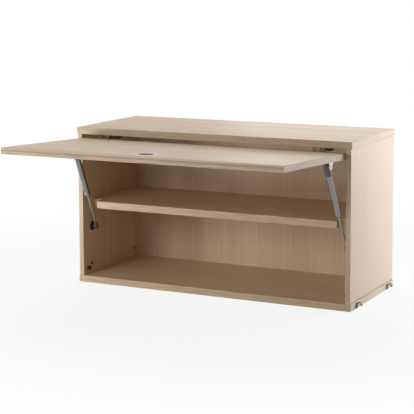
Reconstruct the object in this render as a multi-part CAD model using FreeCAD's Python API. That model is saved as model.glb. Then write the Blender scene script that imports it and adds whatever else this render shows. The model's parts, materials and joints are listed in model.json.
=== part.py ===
import FreeCAD, Part

import math
import os

from FreeCAD import Rotation, Vector

# Lift up wall cabinet: a wooden case with one shelf, closed by a flap that
# swings up on two cranked hinges and is held open by two gas struts.
# Millimetres.  X runs across the width, Y from the front to the wall, Z up.
# The origin is the middle of the bottom panel's underside.
# Each piece of a handed pair is built on the right and mirrored to the left.
# The flap and all it carries are built shut, then swung open.

# ---------------------------------------------------------------- the case
cabinet_width = 780.0
cabinet_depth = 316.0
cabinet_height = 420.0
deck_thickness = 18.0
deck_overhang = 2.0
side_thickness = 13.0
edge_softening = 0.6
past_face = 1.0

back_thickness = 8.0
back_inset = 9.0
groove_depth = 5.0
groove_play = 0.2

dowel_radius = 3.0
dowel_in_side = 13.0
dowel_in_deck = 11.0
dowel_play = 0.1
dowel_from_edge = 88.0

cam_radius = 5.0
cam_depth = 9.0
cam_from_deck = 26.0
cam_from_edge = 42.0
cam_play = 0.1
cam_slot_width = 1.4
cam_slot_depth = 1.2
cam_slot_margin = 1.5
cam_bolt_radius = 2.2
cam_bolt_in_deck = 11.0
cam_bolt_head_radius = 3.0
cam_bolt_head_length = 3.0
cam_bolt_past_cam = 1.5

# --------------------------------------------------------------- the shelf
shelf_underside = 200.5
shelf_thickness = 19.0
shelf_setback = 20.0
shelf_play = 0.5
strut_notch_clearance = 5.3
strut_notch_depth = 33.0
strut_notch_corner = 4.0
shelf_pin_radius = 2.5
shelf_pin_reach = 8.0
shelf_pin_from_front = 100.0
shelf_pin_from_back = 50.0
shelf_pin_rise = 4.0
shelf_pin_play = 0.1
shelf_pin_wall = 4.0
shelf_slot_play = 1.0

# ---------------------------------------------------------------- the flap
flap_thickness = 16.0
flap_reveal = 2.5
flap_open_angle = 92.7

# --------------------------------------------------------------- the hinges
hinge_from_centre = 305.0
hinge_axis_ahead = 1.0
hinge_axis_drop = 6.4
hinge_length = 32.0
hinge_middle_length = 16.0
hinge_strap = 1.5
hinge_pin_radius = 1.5
hinge_pin_play = 0.06
hinge_side_play = 0.3
knuckle_radius = 3.1
knuckle_groove_play = 0.4
strap_play = 0.2
arm_bend_radius = 2.5
arm_end = 70.0
leaf_plate_width = 26.0
leaf_plate_length = 38.0
leaf_corner_radius = 4.0
leaf_screw_offsets = (14.0, 30.0)
hinge_block_width = 26.0
hinge_block_height = 12.0
hinge_block_start = 36.0
hinge_block_nose = 6.0
hinge_block_round = 2.0
hinge_block_screw_margin = 9.0

# ---------------------------------------------------------- the gas struts
foot_side_gap = 12.8
head_side_gap = 22.9
strut_foot_setback = 45.7
strut_foot_drop = 255.8
strut_head_from_flap_edge = 74.3
strut_head_off_flap = 12.0
strut_tube_radius = 7.8
strut_tube_wall = 1.4
strut_tube_short_of_ball = 16.0
strut_rod_radius = 3.0
strut_rod_showing = 103.0
strut_guide_length = 12.0
strut_guide_play = 0.1
strut_piston_length = 12.0
strut_piston_play = 0.3
strut_spigot_radius = 2.0
strut_fit_play = 0.05
strut_crimp = 0.9
strut_crimp_length = 2.0
strut_bead_depth = 0.7
strut_bead_half_length = 1.2
tube_crown = 1.5
guide_lip = 1.5
guide_lip_length = 1.0
piston_gap = 2.0
piston_groove_depth = 1.0
piston_groove_half_length = 1.5
spigot_past_piston = 1.0
head_wall = 1.0
head_step = 0.8
head_collar_length = 9.0
head_dome_past_ball = 8.5
head_dome_start = 3.0
head_shoulder = 1.5
head_shoulder_in = 2.0
head_crown_in = 4.5
ball_radius = 5.0
ball_play = 0.1
ball_mouth_radius = 4.7
ball_mouth_flare = 1.5
ball_neck_radius = 2.6
eye_radius = 7.5
eye_thickness = 8.0
eye_neck_wall = 0.9
eye_waist = 1.6
eye_length = 11.0
eye_neck_length = 16.0
eye_dimple_depth = 0.5
open_pivot_gap = 0.5
foot_radius = 12.2
foot_rim = 2.6
foot_height = 6.0
foot_top_radius = 4.6
foot_flare = 0.6
foot_bevel = 0.8
foot_stud_radius = 4.0
foot_stud_root_radius = 2.5
foot_stud_root_length = 4.5
foot_stud_play = 0.1
foot_screw_circle = 8.3

bracket_thickness = 1.5
bracket_leg_clearance = 1.4
bracket_flange_width = 24.0
bracket_flange_length = 40.0
bracket_flange_corner = 4.0
bracket_leg_root = 36.0
bracket_leg_radius = 8.5
bracket_waist = 0.6
bracket_rivet_radius = 4.0
bracket_rivet_height = 1.0
bracket_screw_offset = 12.0
bracket_screw_inset = 9.0

# ------------------------------------------------ stops, pull and hooks
stop_radius = 5.5
stop_length = 8.0
stop_height = 34.6
stop_gap_to_flap = 0.5
stop_bore_radius = 2.2
stop_bore_depth = 4.0
stop_bevel = 1.2
stop_stem_radius = 2.5
stop_stem_length = 9.0
stop_stem_play = 0.1

pull_radius = 25.0
pull_rim_height = 0.8
pull_mouth_radius = 21.0
pull_pocket_radius = 22.6
pull_depth = 9.0
pull_wall = 1.0
pull_rim_bevel = 0.4
pull_lip = 0.6
pull_lip_depth = 1.2
pull_hollow_start = 3.0
pull_floor_bevel = 1.5
pull_boss_taper = 0.8
pull_hollow_radius = 21.4
pull_pocket_play = 0.2
pull_from_flap_edge = 51.0
pull_boss_radius = 6.0
pull_boss_height = 2.5
pull_screw_cover = 2.0

hook_from_middle = 113.0
hook_width = 10.0
hook_thickness = 2.0
hook_throat = 9.0
hook_leg_top = 10.0
hook_tip_length = 3.0
hook_lean = 14.0
hook_plate_length = 40.0
hook_plate_play = 0.1
hook_plate_corner = 3.0
hook_screw_offsets = (7.0, 19.0)

# ------------------------------------------------------------- the screws
screw_head_radius = 3.0
screw_shank_radius = 1.6
screw_play = 0.05
deck_screw_length = 14.0
block_screw_grip = 12.0
flap_screw_length = 12.0
foot_screw_length = 11.0

# ------------------------------------------------------- derived positions
half_width = cabinet_width / 2.0
front = -cabinet_depth / 2.0
rear = cabinet_depth / 2.0
floor_top = deck_thickness
ceiling = cabinet_height - deck_thickness
side_outer = half_width - deck_overhang
side_inner = side_outer - side_thickness
back_rear = rear - back_inset
back_front = back_rear - back_thickness
shelf_top = shelf_underside + shelf_thickness
shelf_front = front + shelf_setback

flap_half_width = side_inner - flap_reveal
flap_top = ceiling - flap_reveal
flap_bottom = floor_top + flap_reveal
flap_inner_face = front + flap_thickness

hinge_y = front - hinge_axis_ahead
hinge_z = flap_top - hinge_axis_drop

foot_x = side_inner - foot_side_gap
foot_y = front + strut_foot_setback
foot_z = ceiling - strut_foot_drop
head_x = side_inner - head_side_gap
head_radius = strut_tube_radius + head_wall
bracket_leg_x = head_x + head_radius + bracket_leg_clearance
strut_middle_gap = (foot_side_gap + head_side_gap) / 2.0
strut_notch_width = strut_middle_gap + strut_tube_radius + strut_notch_clearance
eye_neck_radius = strut_rod_radius + eye_neck_wall
head_y_shut = flap_inner_face + strut_head_off_flap
head_z_shut = flap_top - strut_head_from_flap_edge

PARTS = "parts"
X_AXIS = Vector(1, 0, 0)
Y_AXIS = Vector(0, 1, 0)
Z_AXIS = Vector(0, 0, 1)
ORIGIN = Vector(0, 0, 0)


# ---------------------------------------------------------------- helpers
def save(name, shape):
    shape.exportStep(os.path.join(PARTS, name + ".step"))


def save_group(name, shapes):
    save(name, Part.makeCompound(shapes))


def mirrored(shape):
    return shape.mirror(ORIGIN, X_AXIS)


def save_pair(name, right_shape):
    save("right_" + name, right_shape)
    save("left_" + name, mirrored(right_shape))


def both(shapes):
    return shapes + [mirrored(shape) for shape in shapes]


def near(first, second):
    return abs(first - second) < 0.01


def runs_along(edge, axis):
    return near(abs(edge.tangentAt(edge.FirstParameter).dot(axis)), 1.0)


def block(x0, x1, y0, y1, z0, z1):
    return Part.makeBox(x1 - x0, y1 - y0, z1 - z0, Vector(x0, y0, z0))


def board(x0, x1, y0, y1, z0, z1):
    plain = block(x0, x1, y0, y1, z0, z1)
    return plain.makeChamfer(edge_softening, plain.Edges)


def rod(radius, start, direction, length):
    return Part.makeCylinder(radius, length, start, direction)


def corner_points(points):
    return [Vector(*point) for point in points]


def extruded(points, direction):
    outline = Part.makePolygon(corner_points(points + points[:1]))
    return Part.Face(outline).extrude(direction)


def outline_of(steps):
    """Closed wire from lines (two points) and arcs (three points)."""
    edges = []
    for step in steps:
        corners = corner_points(step)
        if len(corners) == 2:
            edges.append(Part.LineSegment(*corners).toShape())
        else:
            edges.append(Part.Arc(*corners).toShape())
    return Part.Wire(edges)


def turned(profile):
    """Solid of revolution about Z from (radius, height) points."""
    corners = [(radius, 0, height) for radius, height in profile]
    outline = Part.makePolygon(corner_points(corners + corners[:1]))
    return Part.Face(outline).revolve(ORIGIN, Z_AXIS, 360)


def turned_ball(radius, neck, profile):
    """Ball at the origin whose +Z side runs on into (radius, height) points."""
    leave = math.sqrt(radius ** 2 - neck ** 2)
    corners = [(x, 0, z) for x, z in [(neck, leave)] + profile]
    steps = [[(0, 0, -radius), (radius, 0, 0), (neck, 0, leave)]]
    steps += [[start, end] for start, end in zip(corners, corners[1:])]
    steps.append([corners[-1], (0, 0, -radius)])
    return Part.Face(outline_of(steps)).revolve(ORIGIN, Z_AXIS, 360)


def pointed(shape, position, direction):
    """Turns a shape's +Z to the direction, then carries its origin there."""
    placed = shape.copy()
    placed.Placement = FreeCAD.Placement(position, Rotation(Z_AXIS, direction))
    return placed


def swung_open(shape):
    opened = shape.copy()
    opened.rotate(Vector(0, hinge_y, hinge_z), X_AXIS, -flap_open_angle)
    return opened


# ----------------------------------------------------------------- screws
def screw(length, play=0.0):
    """Countersunk screw: head flush at the origin, point along +Z."""
    head = screw_head_radius + play
    shank = screw_shank_radius + play
    return turned([(0, 0), (head, 0), (shank, head - shank), (shank, length + play),
                   (0, length + play)])


def screws(places, direction, length):
    return [pointed(screw(length), Vector(*place), direction) for place in places]


def screw_holes(places, direction, length):
    """Countersunk holes for what the screws hold."""
    return [pointed(screw(length, screw_play), Vector(*place), direction) for place in places]


def pilot_holes(places, direction, length):
    """Plain holes in the board behind, started outside it."""
    radius = screw_shank_radius + screw_play
    return [rod(radius, Vector(*place), direction, length + screw_play) for place in places]


# ------------------------------------------------------------ case joinery
def along_depth(from_edge):
    return (front + from_edge, rear - from_edge)


def dowel_places():
    x = side_outer - side_thickness / 2.0
    return [Vector(x, y, 0) for y in along_depth(dowel_from_edge)]


def cam_places():
    x = side_outer - side_thickness / 2.0
    return [Vector(x, y, 0) for y in along_depth(cam_from_edge)]


def dowels(play=0.0):
    length = dowel_in_side + dowel_in_deck
    shapes = []
    for place in dowel_places():
        low = Vector(place.x, place.y, floor_top - dowel_in_deck - play)
        high = Vector(place.x, place.y, ceiling + dowel_in_deck + play)
        for start, way in ((low, Z_AXIS), (high, -Z_AXIS)):
            shapes.append(rod(dowel_radius + play, start, way, length + 2 * play))
    return both(shapes)


def cam_bolt():
    """Bolt standing in the deck, with its head inside the cam."""
    foot = -cam_bolt_in_deck
    tip = cam_from_deck + cam_bolt_past_cam
    return turned([(0, foot), (cam_bolt_radius, foot), (cam_bolt_radius, tip - cam_bolt_head_length),
                   (cam_bolt_head_radius, tip - cam_bolt_head_length),
                   (cam_bolt_head_radius, tip), (0, tip)])


def cam_bolt_hole():
    """Tight in the deck, and wide enough in the side for the bolt's head."""
    foot = -cam_bolt_in_deck - cam_play
    tip = cam_from_deck + cam_bolt_past_cam + cam_play
    root = cam_bolt_radius + cam_play
    wide = cam_bolt_head_radius + cam_play
    return turned([(0, foot), (root, foot), (root, 0), (wide, 0), (wide, tip), (0, tip)])


def at_decks(shape):
    """A bolt or its hole, at both ends of both sides."""
    shapes = []
    for place in cam_places():
        shapes.append(pointed(shape, place + Vector(0, 0, floor_top), Z_AXIS))
        shapes.append(pointed(shape, place + Vector(0, 0, ceiling), -Z_AXIS))
    return both(shapes)


def cam_housing():
    """Round cam lying in the side: driver slot on its face, bored for the bolt."""
    body = rod(cam_radius, ORIGIN, X_AXIS, cam_depth)
    reach = cam_radius - cam_slot_margin
    half_slot = cam_slot_width / 2.0
    slot = block(0, cam_slot_depth, -reach, reach, -half_slot, half_slot)
    top = Vector(side_thickness / 2.0, 0, cam_bolt_past_cam + cam_play)
    bore = rod(cam_bolt_head_radius + cam_play, top, -Z_AXIS, 2 * cam_radius)
    return body.cut(slot).cut(bore)


def cam_housings():
    shapes = []
    for place in cam_places():
        low = cam_housing()
        low.translate(Vector(side_inner, place.y, floor_top + cam_from_deck))
        high = cam_housing().mirror(ORIGIN, Z_AXIS)
        high.translate(Vector(side_inner, place.y, ceiling - cam_from_deck))
        shapes += [low, high]
    return both(shapes)


def cam_pockets():
    pockets = []
    for place in cam_places():
        for z in (floor_top + cam_from_deck, ceiling - cam_from_deck):
            start = Vector(side_inner - past_face, place.y, z)
            pockets.append(rod(cam_radius + cam_play, start, X_AXIS,
                               past_face + cam_depth + cam_play))
    return both(pockets)


def back_groove():
    return block(-side_inner - groove_depth, side_inner + groove_depth,
                 back_front - groove_play, back_rear + groove_play,
                 floor_top - groove_depth, ceiling + groove_depth)


def joinery():
    return Part.makeCompound(dowels(dowel_play) + at_decks(cam_bolt_hole()) + [back_groove()])


# ----------------------------------------------------------- hanging hooks
def hook_outline(y):
    """Strip bent up the panel's end, over an arch and down a leaning tip, seen along Y."""
    inner = half_width
    outer = half_width + hook_thickness
    heel = half_width - hook_plate_length
    bend = hook_thickness
    slant = bend * (1 - math.sqrt(0.5))
    lean = math.radians(hook_lean)
    inside = hook_throat / 2.0
    outside = inside + hook_thickness
    middle = outer + inside

    def on_arch(radius, angle):
        return (middle + radius * math.cos(angle), y, hook_leg_top + radius * math.sin(angle))

    def down_tip(radius, length):
        x, y_here, z = on_arch(radius, lean)
        return (x + length * math.sin(lean), y_here, z - length * math.cos(lean))

    tip_end = down_tip(inside + hook_thickness / 2.0, hook_tip_length + hook_thickness / 2.0)
    return outline_of([
        [(heel, y, 0), (outer - bend, y, 0)],
        [(outer - bend, y, 0), (outer - slant, y, slant), (outer, y, bend)],
        [(outer, y, bend), (outer, y, hook_leg_top)],
        [(outer, y, hook_leg_top), on_arch(inside, math.pi / 2), on_arch(inside, lean)],
        [on_arch(inside, lean), down_tip(inside, hook_tip_length)],
        [down_tip(inside, hook_tip_length), tip_end, down_tip(outside, hook_tip_length)],
        [down_tip(outside, hook_tip_length), on_arch(outside, lean)],
        [on_arch(outside, lean), on_arch(outside, math.pi / 2), (inner, y, hook_leg_top)],
        [(inner, y, hook_leg_top), (inner, y, hook_thickness)],
        [(inner, y, hook_thickness), (heel, y, hook_thickness)],
        [(heel, y, hook_thickness), (heel, y, 0)]])


def hook_screw_places(y):
    heel = half_width - hook_plate_length
    return [(heel + offset, y, 0) for offset in hook_screw_offsets]


def hook(y):
    start = y - hook_width / 2.0
    bent = Part.Face(hook_outline(start)).extrude(Vector(0, hook_width, 0))
    heel = half_width - hook_plate_length
    corners = [edge for edge in bent.Edges
               if near(edge.CenterOfMass.x, heel) and near(edge.Length, hook_thickness)]
    bent = bent.makeFillet(hook_plate_corner, corners)
    holes = screw_holes(hook_screw_places(y), Z_AXIS, deck_screw_length)
    return bent.cut(Part.makeCompound(holes))


def hook_pocket(y):
    reach = hook_width / 2.0 + hook_plate_play
    heel = half_width - hook_plate_length - hook_plate_play
    pocket = block(heel, half_width + past_face, y - reach, y + reach,
                   -past_face, hook_thickness + hook_plate_play)
    upright = [edge for edge in pocket.Edges
               if near(edge.CenterOfMass.x, heel) and runs_along(edge, Z_AXIS)]
    return pocket.makeFillet(hook_plate_corner, upright)


# ------------------------------------------------------------------ hinges
def across_hinge(half_length, edge_steps):
    """Extrudes an outline drawn across the hinge axis along that axis."""
    face = Part.Face(outline_of(edge_steps))
    face.translate(Vector(hinge_from_centre - half_length, 0, 0))
    return face.extrude(Vector(2 * half_length, 0, 0))


def around_hinge(radius, half_length):
    start = Vector(hinge_from_centre - half_length, hinge_y, hinge_z)
    return rod(radius, start, X_AXIS, 2 * half_length)


def hinge_arm():
    """Fixed leaf: flat under the top panel, cranked down to its two knuckles."""
    half_length = hinge_length / 2.0
    neck_out = hinge_y - knuckle_radius
    neck_in = neck_out + hinge_strap
    under = ceiling - hinge_strap
    bend = arm_bend_radius
    inner_bend = bend - hinge_strap
    centre_y = neck_out + bend
    centre_z = ceiling - bend
    diagonal = math.sqrt(0.5)
    end = front + arm_end
    strap = across_hinge(half_length, [
        [(0, end, ceiling), (0, centre_y, ceiling)],
        [(0, centre_y, ceiling),
         (0, centre_y - bend * diagonal, centre_z + bend * diagonal), (0, neck_out, centre_z)],
        [(0, neck_out, centre_z), (0, neck_out, hinge_z)],
        [(0, neck_out, hinge_z), (0, neck_in, hinge_z)],
        [(0, neck_in, hinge_z), (0, neck_in, centre_z)],
        [(0, neck_in, centre_z),
         (0, centre_y - inner_bend * diagonal, centre_z + inner_bend * diagonal),
         (0, centre_y, under)],
        [(0, centre_y, under), (0, end, under)],
        [(0, end, under), (0, end, ceiling)]])
    arm = strap.fuse(around_hinge(knuckle_radius, half_length)).removeSplitter()
    reach = hinge_middle_length / 2.0 + hinge_side_play
    room = knuckle_radius + knuckle_groove_play
    middle = block(hinge_from_centre - reach, hinge_from_centre + reach,
                   hinge_y - room, hinge_y + room, hinge_z - room, ceiling + past_face)
    pin_hole = around_hinge(hinge_pin_radius, half_length + past_face)
    arm = arm.cut(middle).cut(pin_hole)
    return arm.cut(Part.makeCompound(block_screw_holes()))


def hinge_pin():
    return around_hinge(hinge_pin_radius, hinge_length / 2.0)


def block_screw_places():
    first = front + hinge_block_start + hinge_block_screw_margin
    second = front + arm_end - hinge_block_screw_margin
    z = ceiling - hinge_strap - hinge_block_height
    return [(hinge_from_centre, first, z), (hinge_from_centre, second, z)]


def block_screw_length():
    return hinge_block_height + hinge_strap + block_screw_grip


def block_screw_holes():
    return screw_holes(block_screw_places(), Z_AXIS, block_screw_length())


def hinge_block():
    """Moulded block that clamps the arm: nose sloped, lower edges rounded."""
    top = ceiling - hinge_strap
    low = top - hinge_block_height
    start = front + hinge_block_start
    end = front + arm_end
    left = hinge_from_centre - hinge_block_width / 2.0
    body = extruded([(left, start, top), (left, end, top), (left, end, low),
                     (left, start + hinge_block_nose, low),
                     (left, start, low + hinge_block_nose)],
                    Vector(hinge_block_width, 0, 0))
    lower = [edge for edge in body.Edges if not near(edge.CenterOfMass.z, top)]
    lower = [edge for edge in lower if not runs_along(edge, Z_AXIS)]
    body = body.makeFillet(hinge_block_round, lower)
    return body.cut(Part.makeCompound(block_screw_holes()))


def leaf_screw_places():
    y = flap_inner_face + hinge_strap
    return [(hinge_from_centre, y, flap_top - offset) for offset in leaf_screw_offsets]


def hinge_leaf():
    """Moving leaf: middle knuckle, strap over the flap's edge, screwed plate."""
    half_middle = hinge_middle_length / 2.0
    top = hinge_z + knuckle_radius
    under = top - hinge_strap
    inner = flap_inner_face
    outer = flap_inner_face + hinge_strap
    slant = hinge_strap * (1 - math.sqrt(0.5))
    low = flap_top - leaf_plate_length
    strap = across_hinge(half_middle, [
        [(0, hinge_y, top), (0, outer - hinge_strap, top)],
        [(0, outer - hinge_strap, top), (0, outer - slant, top - slant),
         (0, outer, top - hinge_strap)],
        [(0, outer, top - hinge_strap), (0, outer, low)],
        [(0, outer, low), (0, inner, low)],
        [(0, inner, low), (0, inner, under)],
        [(0, inner, under), (0, hinge_y, under)],
        [(0, hinge_y, under), (0, hinge_y, top)]])
    half_plate = leaf_plate_width / 2.0
    plate = block(hinge_from_centre - half_plate, hinge_from_centre + half_plate,
                  inner, outer, low, under - hinge_strap)
    corners = [edge for edge in plate.Edges if runs_along(edge, Y_AXIS)]
    plate = plate.makeFillet(leaf_corner_radius, corners)
    leaf = strap.fuse([plate, around_hinge(knuckle_radius, half_middle)]).removeSplitter()
    pin_hole = around_hinge(hinge_pin_radius + hinge_pin_play, hinge_length)
    holes = screw_holes(leaf_screw_places(), -Y_AXIS, flap_screw_length)
    return leaf.cut(pin_hole).cut(Part.makeCompound(holes))


def hinge_recess():
    """Room in the flap's top edge for the knuckles and the leaf's strap."""
    groove = around_hinge(knuckle_radius + knuckle_groove_play,
                          hinge_length / 2.0 + hinge_side_play)
    reach = hinge_middle_length / 2.0 + hinge_side_play
    under = hinge_z + knuckle_radius - hinge_strap - strap_play
    slot = block(hinge_from_centre - reach, hinge_from_centre + reach,
                 front - past_face, flap_inner_face + past_face, under, flap_top + past_face)
    return [groove, slot]


# ------------------------------------------------------ gas strut geometry
def shut_head():
    return Vector(head_x, head_y_shut, head_z_shut)


def open_head():
    return swung_open(Part.Vertex(shut_head())).Point


def foot_point():
    return Vector(foot_x, foot_y, foot_z)


def strut_way():
    return (open_head() - foot_point()).normalize()


def strut_span():
    return (open_head() - foot_point()).Length


def along_strut(shape):
    """Carries a shape built up Z from the lower pivot onto the strut's line."""
    return pointed(shape, foot_point(), strut_way())


def tube_bore():
    return strut_tube_radius - strut_tube_wall


def tube_end():
    return strut_span() - strut_tube_short_of_ball


def strut_tube():
    """Drawn tube with a closed crown, a bead and a rolled-in lower lip."""
    low = strut_rod_showing
    high = tube_end()
    outer = strut_tube_radius
    bore = tube_bore()
    bead = low + strut_guide_length
    profile = [(outer - strut_crimp, low), (outer, low + strut_crimp_length)]
    profile += [(outer, bead - strut_bead_half_length), (outer - strut_bead_depth, bead)]
    profile += [(outer, bead + strut_bead_half_length), (outer, high - tube_crown)]
    profile += [(outer - tube_crown, high), (0, high), (0, high - strut_tube_wall)]
    profile += [(bore, high - strut_tube_wall), (bore, low)]
    return along_strut(turned(profile))


def strut_guide():
    low = strut_rod_showing
    inner = strut_rod_radius + strut_guide_play
    outer = tube_bore() - strut_fit_play
    profile = [(inner, low - guide_lip_length), (inner + guide_lip, low - guide_lip_length)]
    profile += [(outer, low)]
    profile += [(outer, low + strut_guide_length), (inner, low + strut_guide_length)]
    return along_strut(turned(profile))


def piston_start():
    return strut_rod_showing + strut_guide_length + piston_gap


def strut_piston():
    low = piston_start()
    high = low + strut_piston_length
    middle = (low + high) / 2.0
    outer = tube_bore() - strut_piston_play
    inner = strut_spigot_radius + strut_fit_play
    groove = outer - piston_groove_depth
    reach = piston_groove_half_length
    profile = [(inner, low), (outer, low), (outer, middle - reach), (groove, middle - reach)]
    profile += [(groove, middle + reach), (outer, middle + reach), (outer, high), (inner, high)]
    return along_strut(turned(profile))


def strut_rod():
    shoulder = piston_start()
    tip = shoulder + strut_piston_length + spigot_past_piston
    profile = [(0, eye_length), (strut_rod_radius, eye_length), (strut_rod_radius, shoulder)]
    profile += [(strut_spigot_radius, shoulder), (strut_spigot_radius, tip), (0, tip)]
    return along_strut(turned(profile))


def strut_eye():
    """Lower end piece: a flat round eye that runs into a round neck."""
    half = eye_thickness / 2.0
    shoulder = eye_neck_radius + eye_waist
    side = math.sqrt(eye_radius ** 2 - shoulder ** 2)
    outline = outline_of([
        [(-half, -shoulder, side), (-half, 0, -eye_radius), (-half, shoulder, side)],
        [(-half, shoulder, side), (-half, eye_neck_radius, eye_length)],
        [(-half, eye_neck_radius, eye_length), (-half, -eye_neck_radius, eye_length)],
        [(-half, -eye_neck_radius, eye_length), (-half, -shoulder, side)]])
    blade = Part.Face(outline).extrude(Vector(eye_thickness, 0, 0))
    blade = blade.makeChamfer(edge_softening, rim_edges(blade, half))
    neck = turned([(0, side), (eye_neck_radius, side),
                   (eye_neck_radius, eye_neck_length - edge_softening),
                   (eye_neck_radius - edge_softening, eye_neck_length), (0, eye_neck_length)])
    bore = rod(strut_rod_radius + strut_fit_play, Vector(0, 0, eye_length - strut_fit_play),
               Z_AXIS, eye_neck_length)
    dimple = rod(foot_stud_radius + open_pivot_gap, Vector(half - eye_dimple_depth, 0, 0),
                 X_AXIS, past_face)
    return along_strut(blade.fuse(neck).removeSplitter().cut(bore).cut(dimple))


def rim_edges(blade, half):
    rims = []
    for edge in blade.Edges:
        if near(abs(edge.CenterOfMass.x), half) and not near(edge.CenterOfMass.z, eye_length):
            rims.append(edge)
    return rims


def strut_head():
    """Upper end piece: collar over the tube, body round the ball, open sideways."""
    ball = strut_span()
    seat = tube_end()
    start = seat - head_collar_length
    bore = strut_tube_radius + strut_fit_play
    body_radius = head_radius - head_step
    dome = ball + head_dome_past_ball
    profile = [(bore, start), (head_radius, start), (head_radius, seat - head_step)]
    profile += [(body_radius, seat + head_step), (body_radius, ball + head_dome_start)]
    profile += [(body_radius - head_shoulder_in, dome - head_shoulder)]
    profile += [(body_radius - head_crown_in, dome), (0, dome)]
    profile += [(0, seat + strut_fit_play), (bore - tube_crown, seat + strut_fit_play)]
    profile += [(bore, seat - tube_crown)]
    body = turned(profile)
    flare = ball_mouth_radius + ball_mouth_flare
    mouth = head_radius + past_face
    socket = turned_ball(ball_radius + ball_play, ball_mouth_radius, [(flare, mouth), (0, mouth)])
    return along_strut(body.cut(pointed(socket, Vector(0, 0, ball), X_AXIS)))


# ------------------------------------------------------------- strut mounts
def foot_screw_places():
    x = side_inner - foot_rim
    return [(x, foot_y, foot_z + turn * foot_screw_circle) for turn in (-1, 1)]


def strut_foot():
    """Round moulded foot on the side panel, domed up to its stud."""
    profile = [(0, 0), (foot_radius, 0), (foot_radius, foot_rim - foot_bevel),
               (foot_radius - foot_bevel, foot_rim), (foot_top_radius + foot_flare, foot_rim),
               (foot_top_radius, foot_height - foot_flare),
               (foot_top_radius - foot_flare, foot_height), (0, foot_height)]
    seat = Vector(side_inner, foot_y, foot_z)
    body = pointed(turned(profile), seat, -X_AXIS)
    cuts = screw_holes(foot_screw_places(), X_AXIS, foot_screw_length)
    cuts.append(foot_stud(foot_stud_play))
    return body.cut(Part.makeCompound(cuts))


def foot_stud(play=0.0):
    """Steel stud whose end stops just short of the strut's eye."""
    reach = foot_side_gap - eye_thickness / 2.0 - open_pivot_gap
    root = foot_stud_root_radius + play
    head = foot_stud_radius + play
    start = foot_height - foot_stud_root_length
    profile = [(0, start), (root, start), (root, foot_height), (head, foot_height),
               (head, reach - edge_softening), (head - edge_softening, reach), (0, reach)]
    return pointed(turned(profile), Vector(side_inner, foot_y, foot_z), -X_AXIS)


def bracket_screw_places():
    y = flap_inner_face + bracket_thickness
    x = bracket_leg_x - bracket_flange_width + bracket_screw_inset + bracket_thickness
    return [(x, y, head_z_shut + turn * bracket_screw_offset) for turn in (-1, 1)]


def flap_bracket():
    """Bent plate: flange on the flap, tapered leg that carries the ball stud."""
    z = head_z_shut
    outer_x = bracket_leg_x + bracket_thickness
    root = bracket_leg_root / 2.0
    radius = bracket_leg_radius
    waist = flap_inner_face + bracket_waist * strut_head_off_flap
    leg = Part.Face(outline_of([
        [(0, flap_inner_face, z - root), (0, waist, z - radius)],
        [(0, waist, z - radius), (0, head_y_shut, z - radius)],
        [(0, head_y_shut, z - radius), (0, head_y_shut + radius, z), (0, head_y_shut, z + radius)],
        [(0, head_y_shut, z + radius), (0, waist, z + radius)],
        [(0, waist, z + radius), (0, flap_inner_face, z + root)],
        [(0, flap_inner_face, z + root), (0, flap_inner_face, z - root)]]))
    leg.translate(Vector(bracket_leg_x, 0, 0))
    leg = leg.extrude(Vector(bracket_thickness, 0, 0))
    half = bracket_flange_length / 2.0
    flange = block(outer_x - bracket_flange_width, outer_x, flap_inner_face,
                   flap_inner_face + bracket_thickness, z - half, z + half)
    corners = [edge for edge in flange.Edges
               if runs_along(edge, Y_AXIS) and edge.CenterOfMass.x < bracket_leg_x]
    flange = flange.makeFillet(bracket_flange_corner, corners)
    bracket = leg.fuse(flange).removeSplitter()
    cuts = screw_holes(bracket_screw_places(), -Y_AXIS, flap_screw_length)
    cuts.append(rod(ball_neck_radius, shut_head(), X_AXIS, head_side_gap))
    return bracket.cut(Part.makeCompound(cuts))


def head_stud():
    """Ball stud riveted through the bracket's leg, pointing to the middle."""
    leg = bracket_leg_x - head_x
    far = leg + bracket_thickness
    outside = far + bracket_rivet_height
    neck = ball_neck_radius
    rivet = bracket_rivet_radius
    stud = turned_ball(ball_radius, neck, [
        (neck, leg - bracket_rivet_height), (rivet, leg - bracket_rivet_height), (rivet, leg),
        (neck, leg), (neck, far), (rivet, far), (rivet, outside), (0, outside)])
    return pointed(stud, shut_head(), X_AXIS)


# ------------------------------------------------------- stops and the pull
def stop_seat():
    y = flap_inner_face + stop_gap_to_flap + stop_radius
    return Vector(side_inner, y, stop_height)


def stop_stem(play=0.0):
    start = stop_seat() - X_AXIS * past_face
    return rod(stop_stem_radius + play, start, X_AXIS, past_face + stop_stem_length + play)


def flap_stop():
    """Soft buffer peg pushed into the side, hollow in its face."""
    profile = [(0, -stop_stem_length), (stop_stem_radius, -stop_stem_length),
               (stop_stem_radius, 0), (stop_radius, 0), (stop_radius, stop_length - stop_bevel),
               (stop_radius - stop_bevel, stop_length), (stop_bore_radius, stop_length),
               (stop_bore_radius, stop_length - stop_bore_depth),
               (0, stop_length - stop_bore_depth)]
    return pointed(turned(profile), stop_seat(), -X_AXIS)


def pull_centre():
    return Vector(0, front, flap_bottom + pull_from_flap_edge)


def pull_cup():
    """Flush finger cup: thin rim on the face, undercut dish, centre boss."""
    rim = pull_rim_height
    floor = -pull_depth + pull_wall
    profile = [(0, -pull_depth), (pull_pocket_radius - pull_wall, -pull_depth),
               (pull_pocket_radius, -pull_depth + pull_wall), (pull_pocket_radius, 0),
               (pull_radius, 0), (pull_radius - pull_rim_bevel, rim), (pull_mouth_radius, rim),
               (pull_mouth_radius - pull_lip, rim / 2.0), (pull_mouth_radius, -pull_lip_depth),
               (pull_hollow_radius, -pull_hollow_start),
               (pull_hollow_radius, floor + pull_floor_bevel),
               (pull_hollow_radius - pull_floor_bevel, floor), (pull_boss_radius, floor),
               (pull_boss_radius - pull_boss_taper, floor + pull_boss_height),
               (0, floor + pull_boss_height)]
    cup = pointed(turned(profile), pull_centre(), -Y_AXIS)
    return cup.cut(pull_screw(screw_play))


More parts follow.
